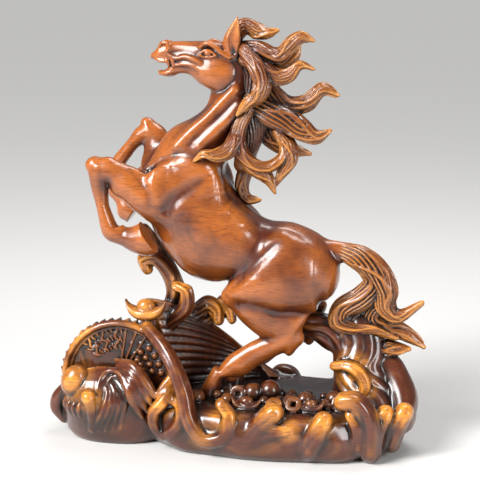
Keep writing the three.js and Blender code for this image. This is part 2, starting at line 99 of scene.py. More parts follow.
def course(stations, steps):
    """The centre line in millimetres, half thickness, half width and the direction across."""
    knots = []
    for i, s in enumerate(stations):
        x, z, y, t, w = s[:5]
        if len(s) > 5:
            across = (math.cos(math.radians(s[5])), math.sin(math.radians(s[5])))
        else:
            before, after = stations[max(i - 1, 0)], stations[min(i + 1, len(stations) - 1)]
            dx, dz = after[0] - before[0], after[1] - before[1]
            long = math.hypot(dx, dz) or 1
            across = (-dz / long, dx / long)
        knots.append([x * share, y * share, z * share, t * share, w * share, *across])
    rows = smooth_curve(knots, (len(stations) - 1) * steps + 1)
    thick, wide = (np.maximum(rows[:, k], 0.35)[:, None] for k in (3, 4))
    lean = rows[:, 5:7] / np.linalg.norm(rows[:, 5:7], axis=1)[:, None]
    across = np.stack([lean[:, 0], np.zeros(len(rows)), lean[:, 1]], 1)
    return rows[:, :3], thick, wide, across


def capped(centre, rings, size, dome=1.0):
    """A skin whose ends are rounded off like the end of a finger, or flatter with a lower dome."""
    def cap(end, inner):
        out = centre[end] - centre[inner]
        out *= dome * size[end] / np.linalg.norm(out)
        made = []
        for a in np.radians((28, 52, 72)):
            made.append(centre[end] + (rings[end] - centre[end]) * math.cos(a) + out * math.sin(a))
        return made, centre[end] + out
    first, first_tip = cap(0, 1)
    last, last_tip = cap(-1, -2)
    return skin(np.array([*first[::-1], *rings, *last]), first_tip, last_tip)


def squared(angle, power):
    """Cosine and sine of the angle, on a circle that a power below 1 makes squarer."""
    return (np.sign(v) * np.abs(v) ** power for v in (np.cos(angle), np.sin(angle)))


def sweep(stations, sides=28, steps=6, ridges=0, depth=0.0, twist=0.0, wander=0.0, square=1.0, flat=False,
          dome=1.0):
    """A limb, lock or wave along its stations. Its ridges stand `depth` of the radius proud."""
    centre, thick, wide, across = course(stations, steps)
    angle = np.linspace(0, 2 * np.pi, sides, endpoint=False)[None, :]
    u = np.linspace(0, 1, len(centre))[:, None]
    turn = twist * u + wander * np.sin(2 * np.pi * (1.4 * u + 0.1 * ridges))
    furrow = 1 - np.abs(np.sin(ridges / 2 * (angle + turn)))
    radius = 1 - depth * furrow if ridges else np.ones_like(angle)
    c, s = squared(angle, square)
    high, deep = c * radius * thick, s * radius * wide
    rings = centre[:, None, :] + across[:, None, :] * high[..., None] + np.array([0, 1, 0]) * deep[..., None]
    if flat:
        return skin(rings, centre[0], centre[-1])
    return capped(centre, rings, thick[:, 0], dome)


def tube(centre, radius, sides=9):
    """A round strand along a line of points, with a radius at each."""
    along = np.gradient(centre, axis=0)
    along /= np.linalg.norm(along, axis=1)[:, None]
    side = np.cross(along, [0.0, 1.0, 0.0])
    side /= np.maximum(np.linalg.norm(side, axis=1), 1e-6)[:, None]
    other = np.cross(along, side)
    angle = np.linspace(0, 2 * np.pi, sides, endpoint=False)
    rings = centre[:, None, :] + radius[:, None, None] * (np.cos(angle)[None, :, None] * side[:, None, :]
                                                          + np.sin(angle)[None, :, None] * other[:, None, :])
    return capped(centre, rings, radius)


def ball(x, z, y, rx, rz=None, ry=None, tilt=0.0):
    """An egg, in thousandths, its long way turned by `tilt` degrees in the picture's plane."""
    rz, ry = rz or rx, ry or rx
    t = math.radians(tilt)
    rows = []
    for k in range(13):
        a = math.pi * (k + 0.5) / 13
        along = -math.cos(a) * rx
        rows.append([x + along * math.cos(t), z + along * math.sin(t), y, math.sin(a) * rz, math.sin(a) * ry,
                     tilt + 90])
    return sweep(rows, sides=24, steps=1, flat=True)


# %% [markdown]
# ## Clay
# A block of clay is a grid of distances to the surface. Adding a skin takes the smaller distance,
# and a `melt` in millimetres rounds the joint. Cutting takes the larger.

# %% clay
class Clay:
    def __init__(self, low, high, step, band=9.0):
        self.step = step
        self.band = band
        self.start = np.floor(np.array(low) / step).astype(int)
        shape = np.ceil(np.array(high) / step).astype(int) - self.start
        self.field = np.full(shape, band, np.float32)

    def block(self, shape):
        """The shape's own distances, and where they lie in this grid."""
        points, triangles, quads = shape
        grid = openvdb.FloatGrid.createLevelSetFromPolygons(
            points.astype(np.float32), triangles.astype(np.uint32), quads.astype(np.uint32),
            openvdb.createLinearTransform(voxelSize=self.step), self.band / self.step)
        low, high = (np.array(c) for c in grid.evalActiveVoxelBoundingBox())
        low = np.maximum(low, self.start)
        high = np.minimum(high + 1, self.start + np.array(self.field.shape))
        values = np.empty(np.maximum(high - low, 1), np.float32)
        grid.copyToArray(values, ijk=tuple(int(v) for v in low))
        a, b = low - self.start, high - self.start
        return values, tuple(slice(p, q) for p, q in zip(a, b))

    def add(self, shape, melt=0.0):
        values, where = self.block(shape)
        old = self.field[where]
        new = np.minimum(old, values)
        if melt:
            near = np.clip(melt - np.abs(old - values), 0, None) / melt
            new -= near * near * melt / 4
        self.field[where] = new
        return self

    def cut(self, shape, melt=0.0):
        values, where = self.block(shape)
        old = self.field[where]
        new = np.maximum(old, -values)
        if melt:
            near = np.clip(melt - np.abs(old + values), 0, None) / melt
            new += near * near * melt / 4
        self.field[where] = new
        return self

    def surface(self):
        """Corners in millimetres, and faces of three or four corners."""
        grid = openvdb.FloatGrid(self.band)
        grid.copyFromArray(self.field)
        corners, triangles, quads = grid.convertToPolygons(0.0, 0.0)
        return (corners + self.start) * self.step, triangles, quads


def box_of(*shapes, margin=5.0):
    low = np.min([s[0].min(0) for s in shapes], axis=0) - margin
    high = np.max([s[0].max(0) for s in shapes], axis=0) + margin
    return low, high


# %% [markdown]
# ## The horse's body
# Torso, neck, head and legs are broad forms that melt into each other. Muscles are eggs pressed
# on, and creases are thin cuts.

# %% broad forms
torso = sweep([
    [232, 402, 0, 46, 48, 84], [190, 412, 0, 80, 80, 78], [110, 436, 0, 88, 90, 70],
    [45, 451, 0, 81, 83, 64], [-4, 460, 0, 98, 90, 65], [-51, 484, 0, 112, 98, 60],
    [-89, 530, 0, 117, 98, 55], [-126, 575, 0, 108, 93, 53], [-162, 623, 0, 72, 83, 47],
    [-192, 643, 0, 43, 59, 53]], sides=48, dome=0.35)
neck = sweep([
    [-13, 887, 0, 48, 22, 44], [-13, 857, 0, 55, 29, 41], [-14, 820, 0, 61, 34, 31],
    [-29, 783, 0, 72, 44, 17], [-60, 743, 0, 81, 59, 2], [-85, 703, 0, 84, 71, -8],
    [-108, 658, 0, 82, 80, -13], [-131, 609, 0, 64, 80, -18]], sides=40)
skull = sweep([
    [-1, 880, 0, 39, 20, 63], [-16, 882, 0, 48, 26, 76], [-45, 884, 0, 54, 30, 72],
    [-67, 890, 0, 51, 30, 72], [-90, 905, 0, 37, 28, 67], [-114, 909, 0, 31, 23, 71],
    [-137, 912, 0, 26, 20, 79], [-158, 912, 0, 24, 20, 81], [-176, 909, 0, 16, 18, 89],
    [-191, 903, 0, 8, 11, 98]], sides=32, square=0.85)
jaw = sweep([
    [-51, 858, 0, 30, 22, 78], [-80, 869, 0, 20, 21, 77], [-107, 876, 0, 15, 17, 79],
    [-128, 875, 0, 13, 16, 90], [-145, 871, 0, 15, 16, 100], [-160, 863, 0, 9, 15, 104],
    [-175, 865, 0, 5, 10, 104]], sides=24)
dock = sweep([[196, 452, 0, 30, 26], [236, 457, 0, 25, 22], [280, 449, 0, 23, 20], [318, 424, 0, 20, 18]])
near_ear = [[0, 912, -20, 16, 10, 181], [-1, 938, -24, 21, 12, 186], [3, 959, -26, 17, 11, 181],
            [9, 981, -27, 9, 7, 181], [14, 997, -27, 2, 2, 181]]
far_ear = [[x - 12, z - 7, -y, t, w, lean] for x, z, y, t, w, lean in near_ear]
near_foreleg = [
    sweep([[-123, 587, -39, 78, 54, 91], [-165, 588, -54, 78, 51, 89], [-208, 591, -66, 49, 39, 78],
           [-242, 617, -71, 37, 32, 66], [-267, 636, -76, 29, 27, 65], [-291, 642, -76, 34, 27, 68],
           [-315, 654, -76, 22, 22, 55]]),
    sweep([[-302, 655, -76, 16, 24, 169], [-307, 627, -76, 25, 26, 154], [-305, 594, -76, 22, 22, 157],
           [-300, 566, -76, 17, 20, 166], [-292, 537, -76, 18, 21, 171], [-283, 508, -76, 21, 23, 186],
           [-271, 496, -76, 26, 22, 223], [-249, 487, -76, 23, 20, 254], [-226, 481, -76, 31, 27, 269],
           [-198, 482, -76, 41, 33, 281], [-188, 487, -76, 41, 33, 303]], flat=True)]
far_foreleg = [
    sweep([[-172, 610, 34, 56, 41, -145], [-195, 654, 49, 50, 34, -150], [-201, 689, 59, 35, 26, -158],
           [-213, 718, 63, 29, 23, -166], [-223, 735, 63, 17, 15, -166]]),
    sweep([[-217, 723, 63, 20, 20, 129], [-241, 706, 63, 21, 21, 129], [-261, 686, 63, 16, 18, 133],
           [-283, 660, 63, 16, 17, 139], [-299, 639, 63, 17, 17, 146], [-315, 608, 63, 17, 20, 169],
           [-312, 572, 63, 18, 18, 190], [-294, 551, 63, 18, 20, 225], [-282, 531, 63, 31, 26, 235],
           [-260, 517, 63, 31, 29, 235]], flat=True)]
thigh = [[226, 390, -22, 50, 46, 76], [190, 402, -34, 84, 58, 98], [138, 400, -44, 90, 60, 103],
         [91, 387, -49, 73, 56, 105], [47, 371, -51, 49, 49, 107], [14, 357, -51, 31, 37, 115],
         [-9, 345, -49, 19, 20, 112]]
gaskin = [[10, 338, -49, 21, 27, 77], [47, 324, -51, 39, 37, 68], [97, 302, -51, 52, 34, 57],
          [140, 283, -51, 57, 29, 41], [145, 257, -51, 41, 26, 42], [148, 240, -51, 23, 20, 47]]
hind_cannon = [[158, 255, -51, 21, 20, 100], [121, 243, -51, 25, 23, 118], [88, 228, -51, 28, 22, 110],
               [58, 211, -51, 30, 22, 106], [33, 192, -54, 33, 24, 103], [9, 180, -56, 28, 24, 110],
               [-14, 165, -59, 15, 22, 130]]
hind_hoof = [[-19, 170, -59, 19, 20, 153], [-33, 150, -61, 19, 24, 176], [-41, 128, -61, 24, 29, 181],
             [-44, 102, -61, 28, 32, 184]]
far_hip, far_hoof = -12, 30


def far(stations, start=far_hoof):
    """The far leg is mirrored: its hip lies a little forward and its hoof stands a little back."""
    last = len(stations) - 1
    return [[x + start + (far_hoof - start) * i / last, z, -y, *rest]
            for i, (x, z, y, *rest) in enumerate(stations)]


body = Clay(*box_of(torso, dock, neck, skull, *near_foreleg, *far_foreleg, sweep(hind_hoof),
                    sweep(near_ear)), fine)
body.add(torso).add(neck, 8).add(dock, 7)
for leg in (thigh, far(thigh, far_hip)):
    body.add(sweep(leg, sides=36, dome=0.5), 7)
for leg in (gaskin, far(gaskin)):
    body.add(sweep(leg), 5)
for leg in (hind_cannon, far(hind_cannon)):
    body.add(sweep(leg), 4)
for leg in (hind_hoof, far(hind_hoof)):
    body.add(sweep(leg, flat=True), 1.5)
body.add(near_foreleg[0], 7).add(near_foreleg[1], 4)
body.add(far_foreleg[0], 7).add(far_foreleg[1], 4)
body.add(skull, 6).add(jaw, 4)
for ear in (near_ear, far_ear):
    body.add(sweep(ear), 2)
print("body grid:", body.field.shape)

# %% [markdown]
# ## Muscles and features
# Muscles are long eggs and soft ridges melted on. Creases are shallow cuts.

# %% raised forms and cuts
raised = [
    ([[8, 829, -30, 8, 9], [-20, 800, -38, 10, 10], [-52, 766, -47, 11, 12], [-88, 734, -56, 11, 12],
      [-120, 703, -62, 8, 9]], 8),
    ([[20, 796, -36, 8, 9], [-4, 764, -46, 10, 10], [-34, 736, -54, 11, 12], [-64, 706, -60, 10, 12]], 8),
    # Brow, cheek bone, cheek strap, and the two folds at the corner of the mouth.
    ([[-74, 927, -25, 4, 5], [-62, 935, -29, 6, 7], [-48, 935, -31, 6, 7], [-35, 927, -32, 6, 7],
      [-22, 915, -32, 6, 6], [-5, 904, -30, 4, 5]], 3),
    ([[-150, 908, -17, 4, 5], [-133, 900, -20, 5, 6], [-111, 904, -24, 5, 6], [-90, 899, -27, 6, 7],
      [-74, 892, -29, 5, 6]], 2.5),
    ([[-134, 884, -17, 4, 5], [-112, 887, -21, 5, 6], [-90, 883, -24, 5, 6], [-70, 874, -27, 4, 5]], 2.5),
    ([[-160, 905, -15, 3, 4], [-153, 893, -18, 4, 5], [-151, 882, -16, 3, 4]], 1.5),
    ([[-148, 904, -18, 3, 4], [-141, 892, -20, 4, 5], [-140, 879, -17, 3, 4]], 1.5),
    ([[-184, 897, -8, 4, 6], [-172, 893, -13, 5, 7], [-158, 892, -16, 4, 6]], 2),
    ([[-174, 863, -6, 4, 6], [-160, 864, -12, 5, 6], [-146, 868, -15, 5, 5]], 2),
    # The nostril's rim runs down to the lip, and the ear's root to the brow.
    ([[-176, 922, -12, 3, 5], [-168, 934, -15, 4, 5], [-155, 934, -18, 4, 5], [-150, 922, -19, 3, 5],
      [-158, 914, -18, 3, 4]], 1.5),
]
muscles = [
    [-66, 628, 58, 62, 40, 26, -52], [-178, 598, 58, 44, 28, 18, 0], [-20, 500, 54, 96, 66, 36, 140],
    [118, 412, 56, 84, 64, 30, 80], [-240, 613, 82, 34, 16, 12, 38],
]
cuts = [
    ([[-46, 632, -104, 3, 8], [-80, 615, -108, 4, 9], [-114, 590, -108, 4, 9], [-142, 556, -103, 3, 8]], 12),
    ([[-58, 674, -92, 3, 8], [-95, 686, -88, 4, 9], [-130, 683, -81, 4, 9], [-164, 666, -72, 4, 8],
      [-188, 642, -66, 4, 7]], 7),
    ([[150, 512, -84, 3, 8], [116, 488, -96, 4, 9], [84, 456, -105, 4, 10], [52, 424, -106, 4, 10],
      [22, 396, -100, 3, 9]], 8),
    # The fold between the forearm and the chest, and the one in front of the thigh.
    ([[-222, 646, -101, 3, 7], [-197, 622, -109, 4, 8], [-180, 592, -116, 4, 8],
      [-176, 560, -116, 3, 7]], 8),
    ([[36, 404, -100, 3, 9], [10, 380, -98, 4, 10], [-6, 358, -92, 4, 9]], 6),
    # The crease behind the jowl, and the hollow above the cheek bone.
    ([[-46, 826, -36, 4, 9], [-20, 829, -38, 4, 9], [2, 850, -37, 4, 9], [11, 873, -35, 4, 8],
      [5, 894, -35, 3, 6]], 3),
    ([[-146, 913, -23, 2, 4], [-121, 916, -27, 3, 5], [-101, 915, -31, 3, 5], [-82, 909, -34, 2, 4]], 2),
]


def both(stations):
    """A near form and its mirror image on the far side."""
    return stations, [[x, z, -y, t, w] for x, z, y, t, w in stations]


for stations, melt in raised:
    for side in both(stations):
        body.add(sweep(side, sides=16), melt)
for x, z, y, long, tall, deep, tilt in muscles:
    for side in (-1, 1):
        body.add(ball(x, z, side * y, long, tall, deep, tilt), 12)
for stations, melt in cuts:
    for side in both(stations):
        body.cut(sweep(side, sides=16), melt)
# Jowl, eye socket, eyeball, pupil, lids and nostril, on both sides of the head.
eye_x, eye_z = -55, 914
for side in (-1, 1):
    body.add(ball(-38, 867, side * 20, 40, 37, 19), 5)
    body.cut(ball(eye_x, eye_z, side * 37, 15, 10, 10, -8), 1.5)
    body.add(ball(eye_x, eye_z, side * 29, 9, 8, 8), 0.4)
    body.cut(ball(eye_x - 2, eye_z, side * 38, 3, 3, 2), 0.3)
    for lid in ([[-75, 909], [-63, 920], [-50, 920], [-35, 909]],
                [[-74, 908], [-60, 904], [-47, 905], [-36, 909]]):
        body.add(sweep([[x, z, side * 32, 2.6, 3.4] for x, z in lid], sides=12), 0.8)
    body.cut(ball(-163, 926, side * 25, 6, 7, 8, 20), 0.8)
for ear, side in ((near_ear, -1), (far_ear, 1)):
    hollow = [[x + 5, z + 4, y + side * 9, t * 0.45, 5] for x, z, y, t, *_ in ear[:4]]
    body.cut(sweep(hollow, sides=12), 1)
print("raised forms:", len(raised), "muscles:", len(muscles), "cuts:", len(cuts), "on each side")

# %% [markdown]
# ## Mane and tail
# A thick root runs down the crest, and the locks leave it. A lock has its half thickness, its depth
# at the root, middle and tip, and its path seen from the side. Loose strands wind along each lock
# and part from it near the tip.

# %% hair
def depth_at(depths, u):
    first, middle, last = depths
    return first * (1 - u) * (1 - 2 * u) + middle * 4 * u * (1 - u) + last * u * (2 * u - 1)


def lock(thick, depths, *path):
    rows = []
    for i, (x, z) in enumerate(path):
        u = i / (len(path) - 1)
        t = thick * min(0.75 + 1.5 * u, 1) * (1 - 0.8 * u ** 3)
        rows.append([x, z, depth_at(depths, u), t, t * 1.08])
    return rows


mane_locks = [
    lock(21, [16, 8, -4], [-4, 938], [22, 973], [55, 962], [81, 959], [104, 966]),
    lock(22, [4, -14, -18], [18, 926], [56, 921], [106, 909], [138, 938], [163, 953], [188, 945]),
    lock(18, [10, 22, 24], [22, 910], [67, 892], [108, 883], [138, 906], [150, 927]),
    lock(20, [-20, -32, -27], [28, 899], [71, 882], [107, 863], [137, 870], [162, 891], [191, 882]),
    lock(21, [-22, -51, -54], [28, 922], [59, 887], [77, 850], [67, 819], [42, 803], [19, 776]),
    lock(25, [5, -2, -7], [46, 874], [84, 825], [128, 795], [172, 803], [209, 835], [244, 822]),
    lock(30, [-10, -27, -27], [40, 811], [89, 779], [134, 762], [169, 740], [202, 728], [229, 742]),
    lock(25, [15, 22, 22], [35, 785], [62, 740], [98, 706], [136, 688], [176, 680]),
    lock(19, [-32, -49, -27], [44, 786], [22, 748], [24, 700], [53, 664], [92, 657], [124, 686], [114, 725]),
    lock(19, [-20, -29, -32], [108, 735], [134, 704], [136, 668], [117, 638], [104, 611]),
    lock(19, [-44, -41, -37], [24, 694], [47, 660], [75, 642], [93, 624], [105, 596]),
    lock(21, [22, 20, 12], [19, 736], [28, 684], [22, 637], [15, 597], [30, 570], [60, 569]),
    lock(19, [-32, -76, -83], [21, 758], [16, 723], [0, 695], [-28, 686], [-53, 688], [-76, 672]),
]
# Two of the near locks fall down the far side of the neck as well.
mane_locks += [[[x, z - 10, -y, t, w] for x, z, y, t, w in mane_locks[i]] for i in (4, 12)]
tail_locks = [
    lock(31, [0, -12, -15], [262, 457], [304, 443], [343, 414], [365, 372], [364, 334], [396, 312],
         [447, 347]),
    lock(29, [6, -6, -9], [285, 445], [322, 416], [334, 384], [305, 348], [262, 321], [254, 288], [292, 272],
         [340, 274], [390, 258]),
    lock(28, [15, 15, 5], [355, 380], [341, 341], [328, 301], [357, 277], [393, 270], [424, 256],
         [452, 236]),
    lock(27, [10, 0, -2], [291, 311], [268, 275], [269, 238], [298, 231], [322, 226], [344, 210]),
    lock(32, [20, 10, 0], [337, 296], [329, 253], [344, 221], [378, 227], [418, 231]),
]
mane_root = [[12, 905, 0, 26, 17], [36, 858, 0, 34, 22], [48, 806, 0, 37, 26], [46, 752, 0, 36, 28],
             [32, 700, 0, 30, 27], [20, 655, 2, 22, 24]]


def carved_lock(stations, number, ridges, strands):
    """The lock itself with its ridges, then the strands that wind along it."""
    shapes = [sweep(stations, sides=8 * ridges, steps=10, ridges=ridges, depth=0.34, wander=0.30,
                    twist=0.7 if number % 2 else -0.7)]
    centre, thick, wide, across = course(stations, 10)
    u = np.linspace(0, 1, len(centre))[:, None]
    side = np.array([0.0, 1.0, 0.0])
    for k in range(strands):
        angle = 2 * np.pi * k / strands + number + 0.6 * np.sin(2 * np.pi * (0.9 * u + 0.37 * k))
        out = 0.88 + (1.3 if (k + number) % 3 == 0 else 0.2) * np.clip(u - 0.74, 0, 1)
        line = centre + across * thick * out * np.cos(angle) + side * wide * out * np.sin(angle)
        start = int(len(u) * 0.08 * (k % 3))
        end = len(u) - 2 * (k % 4)
        grown = np.linspace(0, 1, end - start)
        swell = np.sin(np.pi * (0.12 + 0.86 * grown)) ** 0.6
        radius = (0.07 * thick + 0.10 * thick.max())[start:end, 0] * swell
        shapes.append(tube(line[start:end], radius + 0.25))
    return shapes


mane_parts = [sweep(mane_root, sides=192, steps=10, ridges=26, depth=0.2, wander=0.4)]
for number, stations in enumerate(mane_locks):
    mane_parts += carved_lock(stations, number, 15, 6)
tail_parts = []
for number, stations in enumerate(tail_locks):
    tail_parts += carved_lock(stations, number + 3, 17, 8)
mane = Clay(*box_of(*mane_parts), hair_fine, 4.0)
tail = Clay(*box_of(*tail_parts), hair_fine, 4.0)
for part in mane_parts:
    mane.add(part, 0.4)
for part in tail_parts:
    tail.add(part, 0.4)
print("mane and tail grids:", mane.field.shape, tail.field.shape,
      "parts:", len(mane_parts) + len(tail_parts))

# %% [markdown]
# ## Waves and base
# Two low mounds share one flat underside. Waves wrap them and rise to the belly, the raised hoof
# and the tail. A wave is described like a lock, but keeps a rounded end.

# %% base forms
pool_x, pool_y, pool_half_length, pool_half_depth = (v * share for v in (102, -20, 310, 190))
lobe_x, lobe_y, lobe_half_length, lobe_half_depth = (v * share for v in (-268, -24, 139, 139))
coin_radius, coin_x, coin_y, coin_z = (v * share for v in (146, -256, -112, 149))
coin_thickness, coin_teeth, tooth_height, rim_width, face_sink, coin_lean = 11, 44, 4.4, 7, 2.2, 6


def mound(centre_x, centre_y, half_length, half_depth, squareness, layers, furrows=0):
    angle = np.linspace(0, 2 * np.pi, 160, endpoint=False)
    c, s = squared(angle, 2 / squareness)
    smooth = smooth_curve(layers, 25)
    rings = []
    for z, scale in smooth:
        ripple = scale * (1 + 0.018 * np.sin(furrows * angle + 0.06 * z)) if furrows else scale
        rings.append(np.stack([centre_x + half_length * ripple * c, centre_y + half_depth * ripple * s,
                               np.full_like(c, z)], -1))
    return skin(np.array(rings), [centre_x, centre_y, smooth[0][0]], [centre_x, centre_y, smooth[-1][0]])


def strip(depths, path, thickness):
    rows = []
    for i, (x, z) in enumerate(path):
        u = i / (len(path) - 1)
        rows.append([x, z, depth_at(depths, u), thickness(u), thickness(u) * 1.15])
    return rows


def wave(thick, depths, *path):
    return strip(depths, path, lambda u: thick * (0.7 + 0.3 * math.sin(math.pi * u)))


def crest(thick, head, depths, *path):
    """A crest swells to a head at its end."""
    return strip(depths, path, lambda u: thick + (head - thick) * u * u)


def fold(thick, depths, *path):
    """A fold is thickest in its middle."""
    return strip(depths, path, lambda u: thick * (0.35 + 0.65 * math.sin(math.pi * u)))


wave_stems = [
    wave(22, [10, 5, 5], [-211, 223], [-172, 278], [-149, 334], [-158, 382], [-190, 419], [-222, 413],
         [-215, 392]),
    wave(21, [15, 15, 5], [-131, 336], [-156, 379], [-185, 425], [-208, 462], [-221, 489]),
    wave(19, [-15, -27, -27], [-179, 227], [-150, 272], [-113, 308], [-109, 350], [-133, 360]),
    wave(22, [29, 29, 24], [-141, 257], [-101, 284], [-71, 306], [-50, 293], [-43, 271]),
    wave(18, [44, 44, 39], [-94, 246], [-59, 278], [-37, 309], [-22, 291], [-14, 269]),
]
tail_support = [
    [[299, 262, 8, 56, 36, 183], [302, 218, 2, 64, 50, 181], [303, 187, 0, 64, 60, 184],
         [312, 150, -2, 72, 74, 186], [320, 112, -7, 88, 88, 185], [318, 76, -15, 104, 100, 184]],
    [[287, 190, -12, 19, 22], [332, 199, 0, 28, 29], [369, 185, 5, 33, 34], [394, 150, -5, 33, 44],
         [411, 114, -24, 33, 54], [408, 73, -40, 33, 60]],
    [[133, 276, 15, 26, 29], [166, 278, 15, 31, 32], [200, 271, 12, 35, 34], [239, 254, 10, 42, 39],
         [278, 237, 10, 42, 41]],
    wave(17, [-49, -65, -73], [249, 193], [283, 198], [312, 183], [325, 156], [319, 130]),
]
coin_back = [
    [-262, 30, -20, 140, 110, 180], [-268, 90, -25, 118, 105, 180], [-258, 150, -20, 96, 84, 180],
    [-232, 205, 0, 66, 58, 180], [-206, 250, 14, 36, 40, 180],
]
front_waves = [
    wave(21, [-188, -188, -98], [10, 129], [31, 100], [16, 56], [-28, 46], [-64, 86], [-82, 147],
         [-115, 211], [-150, 249], [-191, 276]),
    crest(27, 25, [-178, -186, -190], [58, 30], [88, 68], [116, 100], [132, 116]),
    crest(20, 14, [-186, -196, -192], [96, 56], [126, 72], [150, 78], [169, 80]),
    crest(30, 24, [-176, -186, -186], [212, 32], [230, 68], [246, 102]),
    crest(27, 24, [-150, -160, -162], [350, 26], [350, 76], [336, 122], [314, 146], [291, 145]),
    crest(17, 14, [-160, -172, -170], [322, 36], [322, 84], [306, 116]),
    crest(26, 21, [-128, -136, -132], [352, 28], [362, 68], [380, 112]),
    crest(22, 23, [-110, -116, -112], [392, 34], [406, 76], [421, 112]),
    wave(16, [-134, -166, -156], [-112, 152], [-121, 136], [-135, 115], [-155, 91], [-156, 61], [-144, 35]),
    wave(17, [-156, -178, -159], [-114, 120], [-91, 116], [-85, 85], [-106, 52], [-136, 31]),
    lock(16, [-151, -142, -134], [-144, 131], [-133, 145], [-118, 168], [-107, 189]),
]
# Folds hang over the coin's face, and a fan of ribs spreads down the left mound from one eye.
folds = [fold(13, [-116 - 34 * k, -148 - 18 * k, -150 - 6 * k], [-262 + 22 * k, 196 - 34 * k],
              [-211 - 7 * k, 190 - 44 * k], [-174 - 32 * k, 152 - 36 * k], [-148 - 38 * k, 112 - 40 * k])
         for k in (0, 0.33, 0.67, 1)]
fan = [fold(9, [-160, -170, -160], [-250 - 22 * k, 156 - 14 * k], [-231 - 36 * k, 134 - 10 * k],
            [-227 - 50 * k, 102 - 14 * k], [-238 - 72 * k, 42 - 9 * k]) for k in (0, 0.25, 0.5, 0.75, 1)]
fan += [fold(8, [-160] * 3, [-292, 132], [-287, 160], [-270, 174], [-246, 174], [-228, 160], [-224, 142]),
        fold(6, [-160] * 3, [-270, 146], [-264, 161], [-250, 162], [-241, 152], [-246, 142]),
        *(fold(8, [-150] * 3, [x, 106], [x - 3, 88], [x, 66]) for x in (-378, -363, -348, -333))]
left_end = [
    crest(11, 19, [-156, -172, -172], [-308, 36], [-303, 80], [-311, 118]),
    wave(20, [-88, -80, -82], [-396, 112], [-414, 84], [-418, 58], [-402, 34]),
]
back_swells = [wave(22, [140, 150, 150], [x, 92], [x + 24, 112], [x + 52, 104], [x + 60, 70], [x + 36, 38],
                    [x - 10, 28]) for x in (-90, 60, 225)]


def on_coin(angle, radius, out=0.0):
    """A place on the coin's face, in millimetres."""
    a, lean = math.radians(angle), math.radians(coin_lean)
    across, up = radius * math.cos(a), radius * math.sin(a)
    return np.array([coin_x + across, coin_y + up * math.sin(lean) - out, coin_z + up * math.cos(lean)])


rim = []
for angle in (48, 70, 92, 114, 136, 158, 176):
    x, y, z = on_coin(angle, 0.91 * coin_radius) / share
    rim.append([x, z, y, 7, 10])


def fluted_wall(flutes=11, thickness=10, dent=1.5):
    """The hollow wave behind the standing leg. Its flutes run along it and close up towards the pool."""
    along, up = 60, 96
    top, start_x, start_y, length, reach = (v * share for v in (332, -151, -34, 259, 141))
    u = np.linspace(0, 1, along)[:, None]
    v = np.linspace(0, 1, up)[None, :]
    top_line = top - (top - pool_level - 3) * u ** 1.5
    z = pool_level - 3 + (top_line - pool_level + 3) * v
    x = start_x + length * (u - 0.15 * v * v)
    y = start_y + reach * (np.sin(u * np.pi / 2) - 0.2 * v * v)
    slope = np.arctan2(reach * np.cos(u * np.pi / 2) * np.pi / 2, length)
    inward = dent * np.abs(np.cos(flutes * np.pi * v)) * np.sin(np.pi * np.clip(v, 0.02, 0.98)) ** 0.3
    inner = np.stack([x + np.sin(slope) * inward, y - np.cos(slope) * inward, z + 0 * x], -1)
    outer = np.stack([x - np.sin(slope) * thickness, y + np.cos(slope) * thickness, z + 0 * x], -1)
    rings = np.concatenate([inner, outer[:, ::-1]], 1)
    return skin(rings, rings[0].mean(0), rings[-1].mean(0))


pool_layers = [[-6, 0.86], [0, 0.9], [7, 0.97], [22, 1.0], [38, 0.95], [43, 0.86], [45, 0.78]]
lobe_layers = [[-6, 0.8], [0, 0.9], [9, 0.99], [28, 1.04], [53, 0.98], [70, 0.8], [80, 0.56], [85, 0.2]]
forms = [
    (mound(pool_x, pool_y, pool_half_length, pool_half_depth, 2.6, pool_layers, furrows=11), 0),
    (mound(lobe_x, lobe_y, lobe_half_length, lobe_half_depth, 2.3, lobe_layers), 3),
    (fluted_wall(), 2),
    (sweep(coin_back, sides=60, steps=8), 3),
    (sweep(tail_support[0], sides=120, steps=10, ridges=12, depth=0.06, wander=0.3, twist=0.8), 4),
    (sweep(tail_support[1], sides=60, steps=8), 4),
    (sweep(tail_support[2], sides=60, steps=8, ridges=8, depth=0.16, twist=0.6, wander=0.3), 4),
    (sweep(tail_support[3], sides=40, steps=8, ridges=5, depth=0.2), 1.5),
]
forms += [(sweep(s, sides=60, steps=8, ridges=6 + i % 2, depth=0.26, twist=0.6, wander=0.2), 2.5)
          for i, s in enumerate(wave_stems)]
forms += [(sweep(s, sides=60, steps=8, ridges=5, depth=0.12, twist=0.4), 3) for s in front_waves]
forms += [(ball(-303, 94, -96, 84, 84, 84), 8), (ball(-356, 147, -138, 40, 32, 30, 62), 0.8)]
forms += [(sweep(s, sides=32, steps=8), 1.2) for s in (rim, *folds, *left_end)]
forms += [(sweep(s, sides=40, steps=8, ridges=5, depth=0.14), 4) for s in back_swells]
base = Clay(*box_of(*(shape for shape, _ in forms)), fine, 6.0)
for shape, melt in forms:
    base.add(shape, melt)


def laid(stations):
    """The same stations, each moved to the front of the clay."""
    made = []
    for x, z, y, *rest in stations:
        i, k = (round(v * share / base.step) - base.start[a] for v, a in ((x, 0), (z, 2)))
        inside = np.flatnonzero(base.field[i, :, k] < 0)
        made.append([x, z, (inside[0] + base.start[1]) * base.step / share if len(inside) else y, *rest])
    return made


fan_skins = [sweep(laid(s), sides=24, steps=8) for s in fan]
for shape in fan_skins:
    base.add(shape, 0.8)
print("base grid:", base.field.shape, "forms:", len(forms))

# %% [markdown]
# ## Treasure
# A big coin with a reeded edge, boat shaped ingots, small coins with square holes, and beads.

